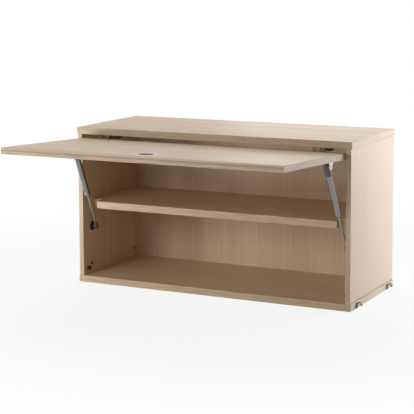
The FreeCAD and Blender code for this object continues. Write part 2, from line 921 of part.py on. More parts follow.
def pull_screw_head():
    return pull_centre() + Y_AXIS * (pull_depth - pull_wall - pull_boss_height)


def pull_screw_length():
    return pull_boss_height + pull_wall + flap_thickness - pull_depth - pull_screw_cover


def pull_screw(play=0.0):
    return pointed(screw(pull_screw_length(), play), pull_screw_head(), Y_AXIS)


def pull_pocket():
    start = pull_centre() - Y_AXIS * past_face
    return rod(pull_pocket_radius + pull_pocket_play, start, Y_AXIS,
               past_face + pull_depth + pull_pocket_play)


# ------------------------------------------------------------------- boards
def top_panel():
    panel = board(-half_width, half_width, front, rear, ceiling, cabinet_height)
    cuts = both(pilot_holes(block_screw_places(), Z_AXIS, block_screw_length()))
    return panel.cut(joinery()).cut(Part.makeCompound(cuts))


def bottom_panel():
    panel = board(-half_width, half_width, front, rear, 0, floor_top)
    cuts = []
    for y in (-hook_from_middle, hook_from_middle):
        cuts.append(hook_pocket(y))
        cuts += pilot_holes(hook_screw_places(y), Z_AXIS, deck_screw_length)
    return panel.cut(joinery()).cut(Part.makeCompound(both(cuts)))


def shelf_pins(play=0.0):
    z = shelf_underside + shelf_pin_rise
    length = side_thickness - shelf_pin_wall + shelf_pin_reach
    pins = []
    for y in (front + shelf_pin_from_front, back_front - shelf_pin_from_back):
        start = Vector(side_inner - shelf_pin_reach, y, z)
        pins.append(rod(shelf_pin_radius + play, start, X_AXIS, length + play))
    return both(pins)


def side_panel():
    panel = board(side_inner, side_outer, front, rear, floor_top, ceiling)
    cuts = cam_pockets() + shelf_pins(shelf_pin_play) + [stop_stem(stop_stem_play)]
    cuts += pilot_holes(foot_screw_places(), X_AXIS, foot_screw_length)
    return panel.cut(joinery()).cut(Part.makeCompound(cuts))


def back_panel():
    tongue = groove_depth - 2 * groove_play
    return block(-side_inner - tongue, side_inner + tongue, back_front, back_rear,
                 floor_top - tongue, ceiling + tongue)


def shelf_slots():
    """Open slots under the shelf's ends that drop over the pins and hide them."""
    slots = []
    top = shelf_underside + shelf_pin_rise + shelf_pin_radius
    reach = shelf_pin_radius + 2 * shelf_pin_play
    for pin in shelf_pins():
        middle = pin.CenterOfMass
        inner = side_inner - shelf_pin_reach - shelf_slot_play
        if middle.x > 0:
            slots.append(block(inner, side_inner, middle.y - reach, middle.y + reach,
                               shelf_underside - past_face, top))
    return both(slots)


def shelf():
    """Shelf whose front corners are cut back to let the struts pass."""
    wide = side_inner - shelf_play
    narrow = side_inner - strut_notch_width
    back = back_front - shelf_play
    notch = shelf_front + strut_notch_depth
    z = shelf_underside
    outline = [(-narrow, shelf_front, z), (narrow, shelf_front, z), (narrow, notch, z),
               (wide, notch, z), (wide, back, z), (-wide, back, z), (-wide, notch, z),
               (-narrow, notch, z)]
    plate = extruded(outline, Vector(0, 0, shelf_thickness))
    inner_corners = [edge for edge in plate.Edges
                     if near(abs(edge.CenterOfMass.x), narrow)
                     and near(edge.CenterOfMass.y, notch) and runs_along(edge, Z_AXIS)]
    plate = plate.makeFillet(strut_notch_corner, inner_corners)
    rims = [edge for edge in plate.Edges
            if near(edge.CenterOfMass.z, z) or near(edge.CenterOfMass.z, z + shelf_thickness)]
    plate = plate.makeChamfer(edge_softening, rims)
    return plate.cut(Part.makeCompound(shelf_slots()))


def flap_panel():
    panel = board(-flap_half_width, flap_half_width, front, flap_inner_face,
                  flap_bottom, flap_top)
    cuts = hinge_recess()
    cuts += pilot_holes(leaf_screw_places() + bracket_screw_places(), -Y_AXIS, flap_screw_length)
    pull_hole = pilot_holes([pull_screw_head()], Y_AXIS, pull_screw_length())
    cuts = both(cuts) + pull_hole + [pull_pocket()]
    for cut in cuts:
        panel = panel.cut(cut)
    return panel


# -------------------------------------------------------------- the pieces
def save_case():
    save("top_panel", top_panel())
    save("bottom_panel", bottom_panel())
    save_pair("side_panel", side_panel())
    save("back_panel", back_panel())
    save("shelf", shelf())
    save_group("shelf_pins", shelf_pins())
    save_group("panel_dowels", dowels())
    save_group("cam_bolts", at_decks(cam_bolt()))
    save_group("cam_housings", cam_housings())
    save_pair("flap_stop", flap_stop())
    hook_screws = []
    for name, y in (("front", -hook_from_middle), ("rear", hook_from_middle)):
        save_pair(name + "_hook", hook(y))
        hook_screws += screws(hook_screw_places(y), Z_AXIS, deck_screw_length)
    save_group("hook_screws", both(hook_screws))


def save_hinges():
    save_pair("hinge_arm", hinge_arm())
    save_pair("hinge_pin", hinge_pin())
    save_pair("hinge_block", hinge_block())
    block_screws = screws(block_screw_places(), Z_AXIS, block_screw_length())
    save_group("hinge_block_screws", both(block_screws))
    save_pair("hinge_leaf", swung_open(hinge_leaf()))
    leaf_screws = screws(leaf_screw_places(), -Y_AXIS, flap_screw_length)
    save_group("hinge_leaf_screws", [swung_open(piece) for piece in both(leaf_screws)])


def save_flap():
    save("flap_panel", swung_open(flap_panel()))
    save("pull_cup", swung_open(pull_cup()))
    save("pull_screw", swung_open(pull_screw()))
    save_pair("flap_bracket", swung_open(flap_bracket()))
    save_pair("flap_bracket_stud", swung_open(head_stud()))
    flange_screws = screws(bracket_screw_places(), -Y_AXIS, flap_screw_length)
    save_group("flap_bracket_screws", [swung_open(piece) for piece in both(flange_screws)])


def save_struts():
    save_pair("strut_foot", strut_foot())
    save_pair("strut_foot_stud", foot_stud())
    foot_screws = screws(foot_screw_places(), X_AXIS, foot_screw_length)
    save_group("strut_foot_screws", both(foot_screws))
    save_pair("strut_tube", strut_tube())
    save_pair("strut_guide", strut_guide())
    save_pair("strut_head", strut_head())
    save_pair("strut_rod", strut_rod())
    save_pair("strut_piston", strut_piston())
    save_pair("strut_eye", strut_eye())


os.makedirs(PARTS, exist_ok=True)
save_case()
save_hinges()
save_flap()
save_struts()
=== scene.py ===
import json
import math

import bmesh
import bpy
from bpy.props import FloatProperty, FloatVectorProperty, IntProperty, PointerProperty
from mathutils import Matrix, Vector


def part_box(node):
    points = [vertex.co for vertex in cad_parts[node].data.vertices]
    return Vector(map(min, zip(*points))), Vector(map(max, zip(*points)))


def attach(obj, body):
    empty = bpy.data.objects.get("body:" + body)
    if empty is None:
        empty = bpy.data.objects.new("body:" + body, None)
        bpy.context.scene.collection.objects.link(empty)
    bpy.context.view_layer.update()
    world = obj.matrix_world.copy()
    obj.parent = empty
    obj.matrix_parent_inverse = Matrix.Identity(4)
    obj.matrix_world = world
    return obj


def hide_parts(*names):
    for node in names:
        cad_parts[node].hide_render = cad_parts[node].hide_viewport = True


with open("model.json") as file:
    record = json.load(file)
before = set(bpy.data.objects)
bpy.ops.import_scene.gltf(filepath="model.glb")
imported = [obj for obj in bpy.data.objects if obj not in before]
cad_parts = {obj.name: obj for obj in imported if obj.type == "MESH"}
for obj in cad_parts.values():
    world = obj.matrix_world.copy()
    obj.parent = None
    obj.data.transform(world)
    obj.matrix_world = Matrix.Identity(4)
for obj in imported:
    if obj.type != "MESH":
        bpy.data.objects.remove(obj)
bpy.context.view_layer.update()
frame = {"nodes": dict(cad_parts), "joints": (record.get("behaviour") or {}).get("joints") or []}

bl_info = {
    "name": "Lift Up Wall Cabinet",
    "version": (1, 0, 0),
    "blender": (4, 5, 0),
    "location": "View3D > Sidebar > Cabinet",
    "description": "Finishes and small fittings of a wooden wall cabinet with a lift up flap",
    "category": "Object",
}

X = Vector((1, 0, 0))
Y = Vector((0, 1, 0))
Z = Vector((0, 0, 1))
FULL_TURN = 2 * math.pi
WHITE = (1.0, 1.0, 1.0, 1.0)
SIDES = ("left", "right")
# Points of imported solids, and of lathed ones, that are nearer than this are one.
PACKED_WELD = 1e-6
LATHED_WELD = 1e-7
# Points that are within this of a solid's end lie on its end face.
END_FACE = 1e-5
OPEN_ANGLE = math.radians(
    [joint for joint in frame["joints"] if joint["name"] == "flap_hinge"][0]["range_deg"][1])
# The open flap's own axes: along its height, and from its outer face inwards.
FLAP_UP = Matrix.Rotation(-OPEN_ANGLE, 3, "X") @ Z
FLAP_IN = Matrix.Rotation(-OPEN_ANGLE, 3, "X") @ Y


# ------------------------------------------------------- shader expressions
class Value:
    """A node's output that can be used in arithmetic."""

    def __init__(self, nodes, socket):
        self.nodes = nodes
        self.socket = socket

    def maths(self, operation, first, second=0.0):
        return self.nodes.add("ShaderNodeMath", {"operation": operation},
                              {0: first, 1: second})[0]

    def __add__(self, other):
        return self.maths("ADD", self, other)

    __radd__ = __add__

    def __sub__(self, other):
        return self.maths("SUBTRACT", self, other)

    def __rsub__(self, other):
        return self.maths("SUBTRACT", other, self)

    def __mul__(self, other):
        return self.maths("MULTIPLY", self, other)

    __rmul__ = __mul__

    def __truediv__(self, other):
        return self.maths("DIVIDE", self, other)

    def __pow__(self, other):
        return self.maths("POWER", self, other)

    def __gt__(self, other):
        return self.maths("GREATER_THAN", self, other)

    def __abs__(self):
        return self.maths("ABSOLUTE", self)

    def floor(self):
        """The whole number below."""
        return self.maths("FLOOR", self)

    def most(self, other):
        """The larger of the two."""
        return self.maths("MAXIMUM", self, other)

    def ramp(self, low, high):
        """0 below low, 1 above high, smooth between."""
        return self.nodes.add("ShaderNodeMapRange", {"interpolation_type": "SMOOTHSTEP"},
                              {"Value": self, "From Min": low, "From Max": high})[0]


class Nodes:
    """The nodes of a material or a world, all made by one method."""

    def __init__(self, owner):
        owner.use_nodes = True
        self.tree = owner.node_tree
        self.tree.nodes.clear()

    def add(self, kind, settings=None, values=None):
        """One node: settings first, then the values or links of its sockets."""
        node = self.tree.nodes.new(kind)
        for name, setting in (settings or {}).items():
            setattr(node, name, setting)
        for key, value in (values or {}).items():
            socket = node.inputs[key]
            if isinstance(value, Value):
                self.tree.links.new(value.socket, socket)
            else:
                socket.default_value = value
        return [Value(self, output) for output in node.outputs if output.enabled]

    def given(self, kind, name):
        """The output of that name, of a node that needs no input."""
        return [value for value in self.add(kind) if value.socket.name == name][0]

    def seen(self):
        """1 where the camera looks, itself or through a mirror or glass, and 0 for light."""
        rays = [self.given("ShaderNodeLightPath", name)
                for name in ("Is Camera Ray", "Is Glossy Ray", "Is Transmission Ray")]
        return rays[0].most(rays[1]).most(rays[2])


class Finish(Nodes):
    """A material and the patterns that make it."""

    def __init__(self, name):
        self.material = bpy.data.materials.new(name)
        super().__init__(self.material)

    def object_place(self):
        """Place in the model's own frame, in metres."""
        return self.given("ShaderNodeTexCoord", "Object")

    def local_place(self, centre, axes):
        """Object place seen from a piece's own centre and its own three axes."""
        turn = Matrix(axes).transposed().to_euler()
        return self.add("ShaderNodeMapping", {"vector_type": "TEXTURE"},
                        {"Vector": self.object_place(), "Location": centre, "Rotation": turn})[0]

    def apart(self, vector):
        """A vector's three numbers."""
        return self.add("ShaderNodeSeparateXYZ", {}, {0: vector})

    def together(self, x, y, z):
        """A vector of three numbers."""
        return self.add("ShaderNodeCombineXYZ", {}, {0: x, 1: y, 2: z})[0]

    def noise(self, place, scale, detail, roughness):
        """Smooth noise from 0 to 1."""
        return self.add("ShaderNodeTexNoise", {"noise_dimensions": "3D"},
                        {"Vector": place, "Scale": scale, "Detail": detail,
                         "Roughness": roughness})[0]

    def random(self, number):
        """A number from 0 to 1 that is always the same for the same number."""
        return self.add("ShaderNodeTexWhiteNoise", {"noise_dimensions": "1D"}, {"W": number})[0]

    def blend(self, factor, first, second):
        """Colour between two colours."""
        return self.add("ShaderNodeMix", {"data_type": "RGBA"},
                        {0: factor, 6: first, 7: second})[0]

    def choose(self, factor, first, second):
        """Vector between two vectors."""
        return self.add("ShaderNodeMix", {"data_type": "VECTOR"},
                        {0: factor, 4: first, 5: second})[0]

    def bump(self, height, strength, distance):
        """Normal of a surface that rises by the height times the distance, in metres."""
        return self.add("ShaderNodeBump", {},
                        {"Height": height, "Strength": strength, "Distance": distance})[0]

    def close(self, values):
        """Ends the material in one shader and gives the material."""
        surface = self.add("ShaderNodeBsdfPrincipled", {}, values)[0]
        self.add("ShaderNodeOutputMaterial", {}, {"Surface": surface})
        return self.material


def rgba(colour, gain=1.0):
    """A setting's colour, lighter or darker by the gain, with full alpha."""
    return (colour[0] * gain, colour[1] * gain, colour[2] * gain, 1.0)


# ------------------------------------------------------------------ finishes
def veneer(name, centre, axes, size, board, seed, painted_face_light=0.0, end_wood=None):
    """Straight grained veneer along the first axis, with banded edges, a tone on the end bands,
    and painted light that pales the faces by a chosen share.
    """
    finish = Finish(name)
    along, across, through = finish.apart(finish.local_place(centre, axes))
    band = board.band_thickness
    end_band = abs(along) > size[0] / 2 - band
    side_band = abs(across) > size[1] / 2 - band
    banded = end_band.most(side_band)
    leaf = (across / board.leaf_width + seed * 0.37).floor()
    leaf_tone = finish.random(leaf + seed * 7.0)
    # The grain runs along the board on its faces, and along each band.
    face_place = finish.together(along + leaf_tone * 3.0, across + seed, through + seed * 2.0)
    end_place = finish.together(across + seed * 3.0, through + along * 0.02, seed * 5.0)
    side_place = finish.together(along * 4.0 + seed * 3.0, through * 1.6 + seed, seed * 5.0)
    place = finish.choose(side_band, finish.choose(end_band, face_place, end_place), side_place)
    run, width, depth = finish.apart(place)

    def streaks(long_scale, cross_scale, detail, roughness):
        """Noise drawn out along the grain, with its scale along and across it."""
        stretched = finish.together(run * long_scale, width * cross_scale, depth * cross_scale)
        return finish.noise(stretched, 1.0, detail, roughness)

    # From broad to narrow: figure, growth lines, fibres and open pores.
    figure = streaks(0.35, 12.0, 1.0, 0.5).ramp(0.30, 0.70)
    lines = streaks(0.8, 150.0, 3.0, 0.6).ramp(0.30, 0.70)
    fine = streaks(3.0, 620.0, 2.0, 0.5).ramp(0.35, 0.75)
    pores = streaks(60.0, 2400.0, 1.0, 0.5).ramp(0.60, 0.74)
    tone = figure * 0.30 + lines * 0.34 + fine * 0.16 + leaf_tone * 0.26
    colour = finish.blend(tone, rgba(board.light_wood), rgba(board.dark_wood))
    # Painted light: the faces lean to a paler tone by the given share, standing in for the right
    # lamp's light and sheen on the right side.
    colour = finish.blend(painted_face_light * (1.0 - banded), colour, rgba(board.painted_light_wood))
    colour = finish.blend(pores * 0.40, colour, rgba(board.pore_wood))
    # Bands: their own tone, short dark strokes, and the tone of an end.
    dashes = streaks(4.0, 300.0, 2.0, 0.6).ramp(0.50, 0.60)
    colour = finish.blend(banded * (0.10 + 0.30 * lines), colour, rgba(board.band_wood))
    colour = finish.blend(banded * dashes * 0.55, colour, rgba(board.pore_wood))
    # The end bands lean to a given tone: painted light on the top and bottom panels' ends, the
    # flap's own darker band on its ends.
    if end_wood:
        colour = finish.blend(end_band * board.end_share, colour, rgba(end_wood))
    # The glue line lies just inside the bands.
    past_end = (abs(along) - (size[0] / 2 - band - board.seam_width)) > 0.0
    past_side = (abs(across) - (size[1] / 2 - band - board.seam_width)) > 0.0
    glue = past_end.most(past_side) - banded
    colour = finish.blend(glue * 0.70, colour, rgba(board.pore_wood))
    roughness = board.gloss + 0.10 * fine + 0.10 * pores - 0.04 * banded
    height = lines * 0.25 + fine * 0.35 - pores * 0.9
    return finish.close({"Base Color": colour, "Roughness": roughness,
                         "Specular IOR Level": 0.5,
                         "Normal": finish.bump(height, 0.25, 0.00008)})


def plain_metal(name, colour, dull, seed, metallic=1.0, marks=1.0):
    """Plated or painted metal with cloudy gloss and fine handling marks."""
    finish = Finish(name)
    place = finish.object_place()
    x, y, z = finish.apart(place)
    cloud = finish.noise(place, 90.0, 3.0, 0.6).ramp(0.3, 0.7)
    fleck = finish.noise(place, 1400.0, 2.0, 0.6).ramp(0.35, 0.7)
    scratched = finish.together(x * 300.0 + seed, y * 2600.0, z * 2600.0)
    scratch = finish.noise(scratched, 1.0, 2.0, 0.6).ramp(0.55, 0.75)
    tone = finish.blend(marks * (cloud * 0.5 + fleck * 0.3), rgba(colour), rgba(colour, 1.22))
    tone = finish.blend(marks * 0.15 * scratch, tone, rgba(colour, 1.5))
    roughness = dull + marks * (0.10 * cloud + 0.06 * fleck - 0.05 * scratch)
    height = marks * (fleck * 0.3 + scratch * 0.3)
    return finish.close({"Base Color": tone, "Metallic": metallic, "Roughness": roughness,
                         "Normal": finish.bump(height, 0.2, 0.00002)})


def polished(name, colour, dull, seed):
    """Polished round bar under clear lacquer, with fine drawing marks."""
    finish = Finish(name)
    x, y, z = finish.apart(finish.object_place())
    drawn = finish.noise(finish.together(x * 2400.0 + seed, y * 120.0, z * 60.0), 1.0, 2.0, 0.6)
    tone = finish.blend(drawn, rgba(colour, 0.88), rgba(colour, 1.12))
    return finish.close({"Base Color": tone, "Metallic": 0.9, "Roughness": dull + 0.08 * drawn,
                         "Coat Weight": 1.0, "Coat Roughness": 0.04,
                         "Normal": finish.bump(drawn, 0.1, 0.00001)})


def moulded(name, colour, dull, seed, grain=2200.0):
    """Moulded plastic or rubber with spark-eroded texture and a worn sheen."""
    finish = Finish(name)
    place = finish.object_place()
    texture = finish.noise(place, grain, 3.0, 0.6)
    worn = finish.noise(place, 60.0 + seed, 3.0, 0.6).ramp(0.45, 0.75)
    tone = finish.blend(worn * 0.6 + texture * 0.2, rgba(colour), rgba(colour, 1.45))
    roughness = dull + 0.12 * texture - 0.10 * worn
    return finish.close({"Base Color": tone, "Roughness": roughness,
                         "Normal": finish.bump(texture, 0.35, 0.00006)})


def turned_metal(name, colour, dark, centre, axes, radius):
    """Satin metal with turning marks round a centre, and painted shade on the inner wall of its
    recess.
    """
    finish = Finish(name)
    across, up, _ = finish.apart(finish.local_place(centre, axes))
    reach = (across * across + up * up) ** 0.5
    rings = finish.noise(finish.together(reach * 2600.0, 0.0, 0.0), 1.0, 2.0, 0.6)
    cloud = finish.noise(finish.object_place(), 120.0, 3.0, 0.6)
    part = reach / radius
    # Painted shade: the ring of the inner wall, where shade falls in the recess, takes the dark
    # colour.
    wall = part.ramp(0.80, 0.83) - part.ramp(0.87, 0.90)
    tone = finish.blend(rings * 0.6 + cloud * 0.3, rgba(colour, 0.85), rgba(colour, 1.15))
    tone = finish.blend(wall, tone, rgba(dark))
    roughness = 0.30 + 0.20 * rings + 0.10 * cloud
    return finish.close({"Base Color": tone, "Metallic": 0.7, "Roughness": roughness,
                         "Normal": finish.bump(rings, 0.3, 0.00003)})


def wear(node, material):
    """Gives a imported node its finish."""
    mesh = frame["nodes"][node].data
    mesh.materials.clear()
    mesh.materials.append(material)


# -------------------------------------------------------------- mesh helpers
def islands(node):
    """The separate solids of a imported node, each as a list of points."""
    copy = bmesh.new()
    copy.from_mesh(frame["nodes"][node].data)
    bmesh.ops.remove_doubles(copy, verts=copy.verts, dist=PACKED_WELD)
    left = set(copy.verts)
    found = []
    while left:
        reached = [left.pop()]
        members = []
        while reached:
            vertex = reached.pop()
            members.append(vertex.co.copy())
            for edge in vertex.link_edges:
                other = edge.other_vert(vertex)
                if other in left:
                    left.remove(other)
                    reached.append(other)
        found.append(members)
    copy.free()
    return sorted(found, key=lambda points: tuple(round(c, 5) for c in sum(points, Vector())))


def extent(points, axis):
    """Where the points start along an axis, the middle of that end, and the length."""
    depths = [point.dot(axis) for point in points]
    start = min(depths)
    face = [point for point, depth in zip(points, depths) if depth < start + END_FACE]
    return sum(face, Vector()) / len(face), max(depths) - start


def facing(place, axis):
    """Matrix that carries +Z to the axis and the origin to the place."""
    return Matrix.Translation(place) @ axis.to_track_quat("Z", "Y").to_matrix().to_4x4()


def piece_from(builder, name, material, body, replaced=()):
    """Turns a bmesh into a piece of the cabinet."""
    bmesh.ops.recalc_face_normals(builder, faces=builder.faces)
    mesh = bpy.data.meshes.new(name)
    builder.to_mesh(mesh)
    builder.free()
    mesh.materials.append(material)
    piece = bpy.data.objects.new(name, mesh)
    bpy.context.scene.collection.objects.link(piece)
    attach(piece, body)
    if replaced:
        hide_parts(*replaced)
    return piece


def shade_by_angle(piece, degrees=35.0):
    """Smooth shading that keeps edges sharper than an angle."""
    mesh = piece.data
    limit = math.radians(degrees)
    builder = bmesh.new()
    builder.from_mesh(mesh)
    for face in builder.faces:
        face.smooth = True
    for edge in builder.edges:
        edge.smooth = edge.is_manifold and edge.calc_face_angle(0.0) < limit
    builder.to_mesh(mesh)
    builder.free()


def lathe(builder, profile, steps):
    """Spins (radius, height) points round Z into a closed solid."""
    corners = [builder.verts.new((radius, 0.0, height)) for radius, height in profile]
    edges = [builder.edges.new(pair) for pair in zip(corners, corners[1:])]
    bmesh.ops.spin(builder, geom=corners + edges, cent=(0, 0, 0), axis=(0, 0, 1),
                   angle=FULL_TURN, steps=steps, use_merge=True)
    bmesh.ops.remove_doubles(builder, verts=builder.verts, dist=LATHED_WELD)


def carve(target, cutter):
    """Cuts one bmesh out of another and gives the result as a new one."""
    made = []
    for name, source in (("carve_target", target), ("carve_cutter", cutter)):
        bmesh.ops.recalc_face_normals(source, faces=source.faces)
        mesh = bpy.data.meshes.new(name)
        source.to_mesh(mesh)
        source.free()
        thing = bpy.data.objects.new(name, mesh)
        bpy.context.scene.collection.objects.link(thing)
        made.append(thing)
    cut = made[0].modifiers.new("cut", "BOOLEAN")
    cut.operation = "DIFFERENCE"
    cut.solver = "EXACT"
    cut.use_self = True
    cut.object = made[1]
    bpy.context.view_layer.update()
    graph = bpy.context.evaluated_depsgraph_get()
    result = bmesh.new()
    result.from_mesh(made[0].evaluated_get(graph).data)
    for thing in made:
        mesh = thing.data
        bpy.data.objects.remove(thing)
        bpy.data.meshes.remove(mesh)
    return result


def cross_cutter(reach, depth, blade):
    """Four tapered wings that leave the recess a cross driver fits."""
    proud = 0.00005
    cutter = bmesh.new()
    for quarter in (0.0, FULL_TURN / 4):
        made = bmesh.ops.create_cone(cutter, cap_ends=True, segments=4, radius1=reach,
                                     radius2=reach * 0.35, depth=depth)
        wing = made["verts"]
        bmesh.ops.rotate(cutter, verts=wing, cent=(0, 0, 0),
                         matrix=Matrix.Rotation(FULL_TURN / 8, 3, "Z"))
        bmesh.ops.scale(cutter, verts=wing, vec=(blade / reach, math.sqrt(2), 1.0))
        bmesh.ops.rotate(cutter, verts=wing, cent=(0, 0, 0),
                         matrix=Matrix.Rotation(quarter, 3, "Z"))
        bmesh.ops.translate(cutter, verts=wing, vec=(0, 0, depth / 2 - proud))
    return cutter


def screw_solid(length, fittings):
    """Countersunk wood screw: head flush at the origin, point along +Z."""
    head = fittings.screw_head
    core = fittings.screw_core
    neck = head - core
    edge = 0.0002
    point = 0.0024
    body = bmesh.new()
    lathe(body, [(0, 0.00012), (head * 0.55, 0.00004), (head - edge, 0), (head, edge),
                 (core + edge, neck), (core, neck + 2 * edge), (core, length - point),
                 (0.0004, length - 0.0003), (0, length)], 24)
    body = carve(body, cross_cutter(head * 0.62, 0.0014, core * 0.42))
    root = core * 0.9
    half_tooth = 0.00035
    steps_in_turn = 14
    thread_start = neck + 0.0006
    turns = (length - 0.0026 - thread_start) / fittings.thread_pitch
    if turns > 1:
        steps = int(turns * steps_in_turn)
        tooth = [body.verts.new((root, 0, thread_start - half_tooth)),
                 body.verts.new((fittings.screw_thread, 0, thread_start)),
                 body.verts.new((root, 0, thread_start + half_tooth))]
        face = body.faces.new(tooth)
        bmesh.ops.spin(body, geom=[face], cent=(0, 0, 0), axis=(0, 0, 1),
                       dvec=(0, 0, turns * fittings.thread_pitch / steps),
                       angle=turns * FULL_TURN, steps=steps, use_merge=False)
        open_edges = [seam for seam in body.edges if seam.is_boundary]
        bmesh.ops.holes_fill(body, edges=open_edges, sides=4)
    return body


def repeated(pattern, places):
    """One bmesh that holds a copy of the pattern at each place."""
    whole = bmesh.new()
    mesh = bpy.data.meshes.new("pattern")
    pattern.to_mesh(mesh)
    pattern.free()
    for place in places:
        before = len(whole.verts)
        whole.from_mesh(mesh)
        whole.verts.ensure_lookup_table()
        bmesh.ops.transform(whole, matrix=place, verts=whole.verts[before:])
    bpy.data.meshes.remove(mesh)
    return whole


# ---------------------------------------------------------------- settings
class CABINET_PG_boards(bpy.types.PropertyGroup):
    light_wood: FloatVectorProperty(
        name="Light wood", description="Palest tone of the veneer", subtype="COLOR",
        default=(0.785, 0.605, 0.405))
    dark_wood: FloatVectorProperty(
        name="Dark wood", description="Deepest tone of the grain lines", subtype="COLOR",
        default=(0.61, 0.44, 0.268))
    # Painted light: a pale tone that stands in for the right lamp's light and sheen on the right
    # side's faces and on the top and bottom panels' ends.
    painted_light_wood: FloatVectorProperty(
        name="Pale wood", description="Tone that the palest faces and ends lean to",
        subtype="COLOR",
        default=(0.80, 0.70, 0.60))
    painted_face_light: FloatProperty(
        name="Pale face", description="How far the right side's faces lean to the pale wood",
        default=0.6)
    flap_end_wood: FloatVectorProperty(
        name="Flap ends", description="Tone that the bands on the flap's ends lean to",
        subtype="COLOR", default=(0.36, 0.28, 0.23))
    end_share: FloatProperty(
        name="End share", description="How far the bands on the ends lean to their tone",
        default=0.5)
    pore_wood: FloatVectorProperty(
        name="Pores", description="Tone of the pores, strokes and glue lines", subtype="COLOR",
        default=(0.36, 0.25, 0.16))
    band_wood: FloatVectorProperty(
        name="Edge band", description="Tone that the edge bands lean to", subtype="COLOR",
        default=(0.57, 0.44, 0.32))
    band_thickness: FloatProperty(
        name="Band thickness", description="Thickness of the edge bands", unit="LENGTH",
        default=0.0008)
    seam_width: FloatProperty(
        name="Seam width", description="Width of the glue line beside a band", unit="LENGTH",
        default=0.0004)
    leaf_width: FloatProperty(
        name="Leaf width", description="Width of one leaf of veneer", unit="LENGTH",
        default=0.155)
    gloss: FloatProperty(
        name="Roughness", description="Roughness of the lacquer", default=0.38)


class CABINET_PG_fittings(bpy.types.PropertyGroup):
    zinc: FloatVectorProperty(
        name="Zinc", description="Colour of plated steel", subtype="COLOR",
        default=(0.33, 0.325, 0.31))
    hook: FloatVectorProperty(
        name="Hook steel", description="Colour of the hooks", subtype="COLOR",
        default=(0.16, 0.14, 0.12))
    nickel: FloatVectorProperty(
        name="Nickel", description="Colour of the hinges", subtype="COLOR",
        default=(0.10, 0.075, 0.052))
    black_steel: FloatVectorProperty(
        name="Black steel", description="Colour of the dark screws", subtype="COLOR",
        default=(0.045, 0.034, 0.027))
    cam: FloatVectorProperty(
        name="Cam casting", description="Colour of the cam connectors", subtype="COLOR",
        default=(0.17, 0.12, 0.085))
    tube: FloatVectorProperty(
        name="Tube", description="Colour of the lacquered strut tubes", subtype="COLOR",
        default=(0.20, 0.20, 0.20))
    chrome: FloatVectorProperty(
        name="Chrome", description="Colour of the strut rods", subtype="COLOR",
        default=(0.30, 0.28, 0.25))
    grey_plastic: FloatVectorProperty(
        name="Grey plastic", description="Colour of the strut ends", subtype="COLOR",
        default=(0.125, 0.13, 0.13))
    black_plastic: FloatVectorProperty(
        name="Black plastic", description="Colour of the strut feet", subtype="COLOR",
        default=(0.022, 0.018, 0.015))
    brown_plastic: FloatVectorProperty(
        name="Brown plastic", description="Colour of the hinge blocks", subtype="COLOR",
        default=(0.048, 0.030, 0.020))
    rubber: FloatVectorProperty(
        name="Rubber", description="Colour of the flap stops", subtype="COLOR",
        default=(0.022, 0.021, 0.020))
    pull: FloatVectorProperty(
        name="Pull", description="Colour of the pull's dish", subtype="COLOR",
        default=(0.78, 0.75, 0.70))
    # Painted shade: dark colour of the pull's recess wall, where shade falls.
    pull_wall_shade: FloatVectorProperty(
        name="Pull wall", description="Colour of the pull's inner wall", subtype="COLOR",
        default=(0.20, 0.19, 0.175))
    screw_head: FloatProperty(
        name="Screw head", description="Radius of the screw heads", unit="LENGTH",
        default=0.0030)
    screw_core: FloatProperty(
        name="Screw core", description="Radius of the screws under the thread", unit="LENGTH",
        default=0.0011)
    screw_thread: FloatProperty(
        name="Screw thread", description="Radius over the thread", unit="LENGTH",
        default=0.0016)
    thread_pitch: FloatProperty(
        name="Thread pitch", description="Rise of the thread in one turn", unit="LENGTH",
        default=0.0015)
    clip_wire: FloatProperty(
        name="Clip wire", description="Radius of the wire clip on the strut's socket",
        unit="LENGTH", default=0.0005)


class CABINET_PG_stage(bpy.types.PropertyGroup):
    floor_colour: FloatVectorProperty(
        name="Floor", description="Colour of the floor", subtype="COLOR",
        default=(0.92, 0.92, 0.92))
    floor_glow: FloatProperty(
        name="Floor glow", description="Share of plain white in what the camera sees of the floor",
        default=0.88, min=0.0, max=1.0)
    shadow_reach: FloatProperty(
        name="Shadow reach", description="Distance at which the floor is seen plain white",
        unit="LENGTH", default=1.4)
    floor_reach: FloatProperty(
        name="Floor reach", description="Half the floor's side", unit="LENGTH", default=30.0)
    fill_light: FloatProperty(
        name="Fill", description="Light that comes from all round", default=0.06)
    camera_place: FloatVectorProperty(
        name="Camera place", description="Where the camera stands", subtype="TRANSLATION",
        default=(1.5339, -3.2095, 0.8261))
    camera_heading: FloatProperty(
        name="Heading", description="Camera's turn from square on", subtype="ANGLE",
        default=math.radians(26.715))
    camera_pitch: FloatProperty(
        name="Pitch", description="Camera's tilt from level", subtype="ANGLE",
        default=math.radians(-7.232))
    camera_roll: FloatProperty(
        name="Roll", description="Camera's lean", subtype="ANGLE",
        default=math.radians(-0.233))
    camera_lens: FloatProperty(
        name="Lens", description="Focal length in millimetres", default=117.71)
    camera_shift: FloatProperty(
        name="Shift", description="Vertical shift that frames the cabinet", default=-0.15)


